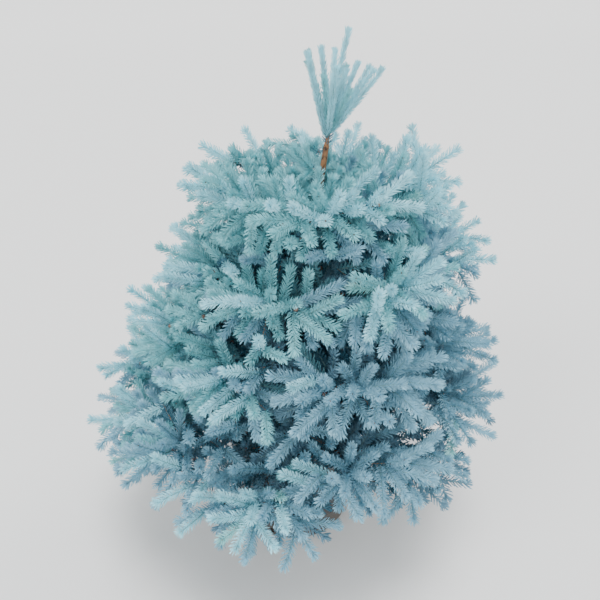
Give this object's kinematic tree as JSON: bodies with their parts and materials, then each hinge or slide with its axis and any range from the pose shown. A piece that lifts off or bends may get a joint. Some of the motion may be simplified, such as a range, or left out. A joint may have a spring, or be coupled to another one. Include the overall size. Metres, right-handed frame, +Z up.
{
  "type": "potted blue spruce",
  "caption": "Young blue spruce with a leaning trunk, whorled boughs and dense blue-green needles, in a plain nursery pot.",
  "frame": {"origin": "centre of the pot's flat underside", "axes": "+Z up; the side that the picture shows faces -Y, and the trunk leans towards +X"},
  "size_m": [1.1502, 1.1776, 1.47],
  "materials": {
    "pot_plastic": "matt dark grey nursery plastic",
    "compost": "moist dark brown compost with bark chips",
    "bark": "rough grey-brown bark",
    "needles": "waxy blue-green needles"
  },
  "bodies": {
    "root": {"pot": "pot_plastic", "soil": "compost", "trunk": "bark", "low_bough_1": "bark", "low_bough_2": "bark", "low_bough_3": "bark", "low_bough_4": "bark", "low_bough_5": "bark", "low_bough_6": "bark", "low_bough_7": "bark", "low_bough_8": "bark", "low_bough_9": "bark", "low_bough_10": "bark", "low_bough_11": "bark", "low_bough_12": "bark", "lower_bough_1": "bark", "lower_bough_2": "bark", "lower_bough_3": "bark", "lower_bough_4": "bark", "lower_bough_5": "bark", "lower_bough_6": "bark", "lower_bough_7": "bark", "low_foliage_1": "needles", "low_foliage_2": "needles", "low_foliage_3": "needles", "low_foliage_4": "needles", "low_foliage_5": "needles", "low_foliage_6": "needles", "low_foliage_7": "needles", "low_foliage_8": "needles", "low_foliage_9": "needles", "low_foliage_10": "needles", "low_foliage_11": "needles", "low_foliage_12": "needles", "lower_foliage_1": "needles", "lower_foliage_2": "needles", "lower_foliage_3": "needles", "lower_foliage_4": "needles", "lower_foliage_5": "needles", "lower_foliage_6": "needles", "lower_foliage_7": "needles", "middle_foliage_1": "needles", "middle_foliage_2": "needles", "middle_foliage_3": "needles", "middle_foliage_4": "needles", "middle_foliage_5": "needles", "middle_foliage_6": "needles", "upper_foliage_1": "needles", "upper_foliage_2": "needles", "upper_foliage_3": "needles", "upper_foliage_4": "needles", "upper_foliage_5": "needles", "side_foliage_1": "needles", "side_foliage_2": "needles", "side_foliage_3": "needles", "leader_foliage": "needles"}
  },
  "joints": []
}
